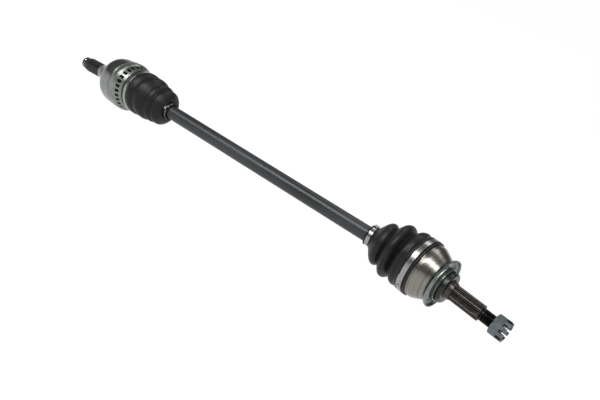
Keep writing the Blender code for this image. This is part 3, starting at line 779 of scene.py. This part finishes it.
def strip_mesh(name, rows, ring=False):
    """The strip as a closed mesh, with the brushed marks running along it."""
    count, columns = rows.shape[:2]
    faces = []
    for i in range(count if ring else count - 1):
        after = (i + 1) % count
        for j in range(columns):
            side = (j + 1) % columns
            faces.append((i * columns + j, i * columns + side, after * columns + side, after * columns + j))
    if not ring:
        faces += [tuple(range(columns)), tuple(range(count * columns - 1, (count - 1) * columns - 1, -1))]
    mesh = bpy.data.meshes.new(name)
    points = rows.reshape(-1, 3) * MM
    mesh.from_pydata(points.tolist(), [], faces)
    layer = mesh.uv_layers.new(name=UV_NAME)
    corners = np.empty(len(mesh.loops), int)
    mesh.loops.foreach_get("vertex_index", corners)
    radii = np.linalg.norm(points[:, 1:], axis=1)
    uvs = np.stack([np.zeros(len(corners)), (points[:, 0] + radii)[corners]], axis=1)
    layer.data.foreach_set("uv", uvs.ravel())
    clean(mesh)
    return mesh


def circle_path(radius, start, end, step=3.0):
    count = max(2, round((end - start) / step))
    return [(start + (end - start) * i / count, radius) for i in range(count + 1)]


def joined(name, meshes, matrix, look):
    """One piece from several meshes."""
    bm = bmesh.new()
    for mesh in meshes:
        bm.from_mesh(mesh)
    mesh = bpy.data.meshes.new(name)
    bm.to_mesh(mesh)
    bm.free()
    return add_object(name, mesh, matrix, look)


def ear_clamp(name, low, high, radius, thickness, ear_at, matrix, ear_rise=3.4, ear_half=3.6):
    """A band with one crimped ear. ear_half is half the ear's width in millimetres round the band."""
    middle = radius + thickness / 2.0
    half = math.degrees(ear_half / middle)
    ear = [(-1.0, 0.0), (-0.62, 0.8), (-0.5, ear_rise * 0.5), (-0.72, ear_rise * 0.85), (-0.45, ear_rise)]
    ear += [(0.0, ear_rise * 0.88), (0.45, ear_rise), (0.72, ear_rise * 0.85), (0.5, ear_rise * 0.5)]
    ear += [(0.62, 0.8), (1.0, 0.0)]
    ear_path = [(ear_at + share * half, middle + rise) for share, rise in ear]
    band = circle_path(middle, ear_at + half * 1.25, ear_at + 360.0 - half * 1.25)
    path = smooth_curve(ear_path, 4)
    loop = strip([tuple(p) for p in path] + band, low, high, thickness, ring=True)
    inner = radius - thickness * 0.4
    tongue = circle_path(inner, ear_at - half * 2.4, ear_at + half * 2.4)
    under = strip(tongue, low + 0.5, high - 0.5, thickness * 0.6)
    return joined(name, [strip_mesh(name, loop, True), strip_mesh("tongue", under)], matrix, CLAMP)


def lock_clamp(name, low, high, radius, thickness, lock, matrix):
    """A low band whose tail lies over it between the two lock angles, held by pressed hooks."""
    middle = radius + thickness / 2.0
    start, end = lock
    band = strip(circle_path(middle, 0.0, 357.0), low, high, thickness, ring=True)
    rise = math.degrees(2.2 / middle)
    tail = [(start, middle + thickness * 0.3), (start + rise, middle + thickness * 0.95)]
    tail += circle_path(middle + thickness * 1.05, start + 2 * rise, end)
    parts = [strip_mesh(name, band, True), strip_mesh("tail", strip(tail, low - 0.7, high + 0.2, thickness))]
    wide = high - low
    for at in (start + (end - start) * 0.35, start + (end - start) * 0.72):
        bump = [(at - 1.6, middle + thickness * 1.2), (at - 0.9, middle + thickness * 2.0)]
        bump += [(at + 0.9, middle + thickness * 2.0), (at + 1.6, middle + thickness * 1.2)]
        hook = strip(bump, low + wide * 0.3, high - wide * 0.3, thickness)
        parts.append(strip_mesh("hook", hook))
    return joined(name, parts, matrix, CLAMP)


def build_clamps():
    big = lock_clamp("outer_large_clamp", -3.5, 4.3, 45.3, 1.0, (187.0, 216.0), WHEEL)
    finish_piece(big, "wheel_end", "clamp_steel", "outer_boot_large_clamp")
    small = ear_clamp("outer_small_clamp", -86.5, -80.0, 15.2, 0.9, 70.0, BAR_END)
    finish_piece(small, "shaft", "clamp_steel", "outer_boot_small_clamp")
    neck = ear_clamp("inner_large_clamp", 41.0, 48.5, 38.8, 0.9, 20.0, HOUSING, 3.2, 4.0)
    finish_piece(neck, "gearbox_end", "clamp_steel", "inner_boot_large_clamp")
    cuff = ear_clamp("inner_small_clamp", 111.5, 117.4, 15.2, 0.9, 150.0, BAR)
    finish_piece(cuff, "shaft", "clamp_steel", "inner_boot_small_clamp")


# ---------------------------------------------------------------- boots

BOOT_WALL = 2.0
BOOT_SIDES = 96
BOOT_STEPS = 3
OUTER_BEND_SPAN = (-58.0, -9.0)
INNER_BEND_SPAN = (51.0, 105.0)


def boot(name, node, points, centre, turn_at, sections):
    """A bellows in sections that meet edge to edge. Each section is (first point, last point, near body,
    far body, start point, end point); turn_at gives the rest bend at each place along the bar."""
    curve = smooth_curve(points, BOOT_STEPS)
    angles = np.arange(BOOT_SIDES) * 2.0 * math.pi / BOOT_SIDES
    rows = np.empty((2, len(curve), BOOT_SIDES, 3))
    for i, (u, r) in enumerate(curve):
        turn = np.array(turn_at(u))
        for layer, radius in enumerate((r, r - BOOT_WALL)):
            ring = np.stack([np.full_like(angles, u), radius * np.cos(angles), radius * np.sin(angles)], axis=1)
            rows[layer, i] = (ring * MM) @ turn.T
    rows = rows @ np.array(centre.to_3x3()).T + np.array(centre.translation)
    lengths = outline_lengths([tuple(p) for p in curve])
    across = np.roll(rows[0], -1, axis=1) - np.roll(rows[0], 1, axis=1)
    normals = np.cross(across, np.gradient(rows[0], axis=0))
    normals /= np.linalg.norm(normals, axis=2)[:, :, None]
    middles = rows[0].mean(axis=1)
    for number, (first, last, near, far, start, end) in enumerate(sections, 1):
        picked = slice(first * BOOT_STEPS, last * BOOT_STEPS + 1)
        outer, inner = rows[0, picked], rows[1, picked][::-1]
        shell = np.concatenate([outer, inner])
        out = np.concatenate([lengths[picked], lengths[picked][::-1]])
        mesh = grid_mesh(f"{name}_{number}", shell, out, ring=True, keep_rows=True)
        piece = add_object(f"{name}_{number}", mesh, Matrix.Identity(4), RUBBER, None)
        facing = np.concatenate([normals[picked], -normals[picked][::-1]]).reshape(-1, 3)
        if (facing[0] @ (shell[0, 0] - middles[picked][0])) < 0.0:
            facing = -facing
        mesh.update()
        if mesh.polygons[0].normal @ Vector(facing[0]) < 0.0:
            mesh.flip_normals()
        mesh.normals_split_custom_set_from_vertices(facing.tolist())
        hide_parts(node)
        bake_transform(piece)


def build_outer_boot():
    bend = WHEEL_AXIS.angle(BAR_AXIS) * -1.0

    def turn_at(u):
        return Matrix.Rotation(bend * smooth_share(u, *OUTER_BEND_SPAN), 3, "Z")

    points = [(-88.8, 15.3), (-88.6, 16.2), (-87.8, 16.5), (-87.0, 16.0), (-86.7, 15.1), (-83.3, 15.0), (-79.8, 15.1)]
    points += [(-79.3, 16.2), (-78.0, 17.6), (-75.8, 20.4), (-72.0, 26.0), (-68.0, 31.2), (-64.0, 34.3), (-60.5, 35.1)]
    points += [(-57.2, 34.1), (-55.4, 32.2), (-54.5, 30.9), (-53.4, 31.8), (-49.5, 37.4), (-45.5, 42.3), (-41.5, 44.4)]
    points += [(-38.0, 44.5), (-34.5, 42.3), (-31.5, 38.6), (-30.4, 36.9), (-29.5, 36.3), (-28.3, 37.3), (-25.0, 41.6)]
    points += [(-21.5, 44.6), (-17.8, 45.8), (-14.5, 45.4), (-11.5, 44.4), (-9.5, 45.0), (-7.2, 45.9), (-5.0, 45.6)]
    points += [(-4.2, 44.8), (0.4, 44.7), (4.9, 44.8), (5.4, 45.5), (6.6, 45.9), (8.0, 45.7), (8.7, 45.0)]
    sections = [(0, 21, "shaft", "lead_ball", 8, 21), (21, 23, "lead_ball", "cage", 21, 23)]
    sections += [(23, 27, "cage", "trail_ball", 23, 27), (27, 41, "trail_ball", "wheel_end", 27, 31)]
    boot("outer_bellows", "outer_boot", points, BAR_END, turn_at, sections)


def build_inner_boot():
    local = BAR.to_3x3().inverted() @ HOUSING.to_3x3()
    full = local.to_quaternion()

    def turn_at(u):
        share = 1.0 - smooth_share(u, *INNER_BEND_SPAN)
        return Matrix.Identity(3).to_quaternion().slerp(full, float(share)).to_matrix()

    points = [(35.6, 38.5), (36.2, 39.3), (37.4, 39.3), (40.2, 38.6), (41.2, 38.4), (44.8, 38.4), (48.4, 38.5)]
    points += [(49.6, 39.2), (52.4, 40.0), (56.0, 39.6), (59.6, 38.0), (61.6, 36.8), (62.8, 36.5), (64.4, 37.1)]
    points += [(67.5, 38.5), (71.5, 39.0), (75.5, 38.4), (79.5, 36.4), (82.4, 34.0), (83.6, 33.3), (84.8, 33.7)]
    points += [(87.0, 34.9), (89.4, 35.0), (91.8, 33.6), (93.6, 31.2), (94.6, 30.4), (95.7, 30.9), (98.0, 32.3)]
    points += [(100.6, 32.6), (103.8, 31.6), (107.2, 28.6), (110.2, 24.8), (112.0, 22.0), (112.2, 20.6)]
    points += [(111.5, 18.8), (110.5, 17.0), (110.2, 15.5), (111.2, 15.0), (114.5, 15.0), (117.6, 15.1)]
    points += [(118.0, 16.0), (118.8, 16.2), (119.3, 15.4)]
    sections = [(0, 12, "inner_boot", "gearbox_end", 12, 6), (12, 16, "upper_roller", "inner_boot", 16, 12)]
    sections += [(16, 42, "shaft", "upper_roller", 34, 16)]
    boot("inner_bellows", "inner_boot", points, BAR, turn_at, sections)


# ---------------------------------------------------------------- hidden running parts

HIDDEN = ["cage", "inner_race", "inner_race_circlip", "shaft_stop_ring", "tripod_spider", "spider_circlip"]
HIDDEN += ["housing_retaining_ring"]
HIDDEN += [f"ball_{number}" for number in range(1, 7)]
HIDDEN += [f"{kind}_{number}" for kind in ("roller", "trunnion_ring", "needle_set") for number in range(1, 4)]


def finish_hidden_parts():
    for name in HIDDEN:
        node = frame["nodes"][name]
        for material_slot in node.material_slots:
            material_slot.material = BEARING


# ---------------------------------------------------------------- studio

VIEW_AZIMUTH = 24.04
VIEW_ELEVATION = 24.60
VIEW_ROLL = 21.64
CAMERA_PLACE = (0.41602, -0.71771, 0.39425)
LENS = 32.4
SENSOR = 36.0
FLOOR_SIZE = 120.0
FLOOR_GLOW = 0.985
WORLD_BANDS = [(0.0, 0.99), (0.14, 0.99), (0.24, 0.12), (1.0, 0.2)]
SOFTBOXES = [
    ("long", (0.1, -0.75, 1.25), (0.0, 0.0, 0.0), (3.0, 0.4), 42.0),
    ("back", (0.2, 0.9, 1.6), (0.0, 0.0, 0.0), (2.0, 0.5), 10.0),
]


def build_camera():
    camera = bpy.data.objects.new("camera", bpy.data.cameras.new("camera"))
    bpy.context.scene.collection.objects.link(camera)
    camera.data.lens = LENS
    camera.data.sensor_width = SENSOR
    camera.data.clip_start = 0.01
    camera.data.clip_end = 500.0
    azimuth, elevation = math.radians(VIEW_AZIMUTH), math.radians(VIEW_ELEVATION)
    flat = math.cos(elevation)
    ahead = Vector((-math.sin(azimuth) * flat, math.cos(azimuth) * flat, -math.sin(elevation)))
    level = ahead.cross(UP).normalized()
    above = level.cross(ahead)
    roll = math.radians(VIEW_ROLL)
    right = level * math.cos(roll) + above * math.sin(roll)
    top = right.cross(ahead)
    matrix = Matrix((right, top, -ahead)).transposed().to_4x4()
    matrix.translation = CAMERA_PLACE
    camera.matrix_world = matrix
    bpy.context.scene.camera = camera


def add_softbox(name, place, aim, size, power):
    light = bpy.data.lights.new(name, "AREA")
    light.shape = "RECTANGLE"
    light.size, light.size_y = size
    light.energy = power
    box = bpy.data.objects.new(name, light)
    bpy.context.scene.collection.objects.link(box)
    box.location = place
    box.rotation_mode = "QUATERNION"
    box.rotation_quaternion = (Vector(aim) - Vector(place)).to_track_quat("-Z", "Y")


def build_world():
    """A dim room with a white band at the horizon, where the floor fades out."""
    world = bpy.data.worlds.new("studio")
    world.use_nodes = True
    bpy.context.scene.world = world
    nodes, links = world.node_tree.nodes, world.node_tree.links
    direction = nodes.new("ShaderNodeTexCoord")
    split = nodes.new("ShaderNodeSeparateXYZ")
    ramp = nodes.new("ShaderNodeValToRGB")
    links.new(direction.outputs["Generated"], split.inputs[0])
    links.new(split.outputs["Z"], ramp.inputs["Fac"])
    links.new(ramp.outputs["Color"], nodes["Background"].inputs["Color"])
    bands = ramp.color_ramp.elements
    for place, _ in WORLD_BANDS[2:]:
        bands.new(place)
    for band, (place, tone) in zip(bands, WORLD_BANDS):
        band.position = place
        band.color = (tone, tone, tone, 1.0)


def build_studio():
    build_camera()
    bpy.context.scene.view_settings.view_transform = "Standard"
    look = Look("floor_white", 0.0, Roughness=0.9)
    look.shader.inputs["Base Color"].default_value = (0.10, 0.10, 0.10, 1.0)
    look.shader.inputs["Specular IOR Level"].default_value = 0.1
    look.shader.inputs["Emission Color"].default_value = (1.0, 1.0, 1.0, 1.0)
    look.shader.inputs["Emission Strength"].default_value = FLOOR_GLOW
    half = FLOOR_SIZE / 2.0
    mesh = bpy.data.meshes.new("floor")
    mesh.from_pydata([(-half, -half, 0), (half, -half, 0), (half, half, 0), (-half, half, 0)], [], [(0, 1, 2, 3)])
    floor = add_object("floor", mesh, Matrix.Identity(4), look.material, None)
    build_world()
    for softbox in SOFTBOXES:
        add_softbox(*softbox)


build_studio()
build_bar()
build_bell()
build_boss()
build_spindle()
build_shield()
build_nut()
build_inner_housing()
build_stub()
build_tone_ring()
stub_ring = snap_ring("stub_snap_ring", -128.0, 11.5, 0.75, HOUSING, 28.0, 60.0)
finish_piece(stub_ring, "gearbox_end", "bearing_steel", "inner_stub_circlip")
build_clamps()
build_outer_boot()
build_inner_boot()
finish_hidden_parts()
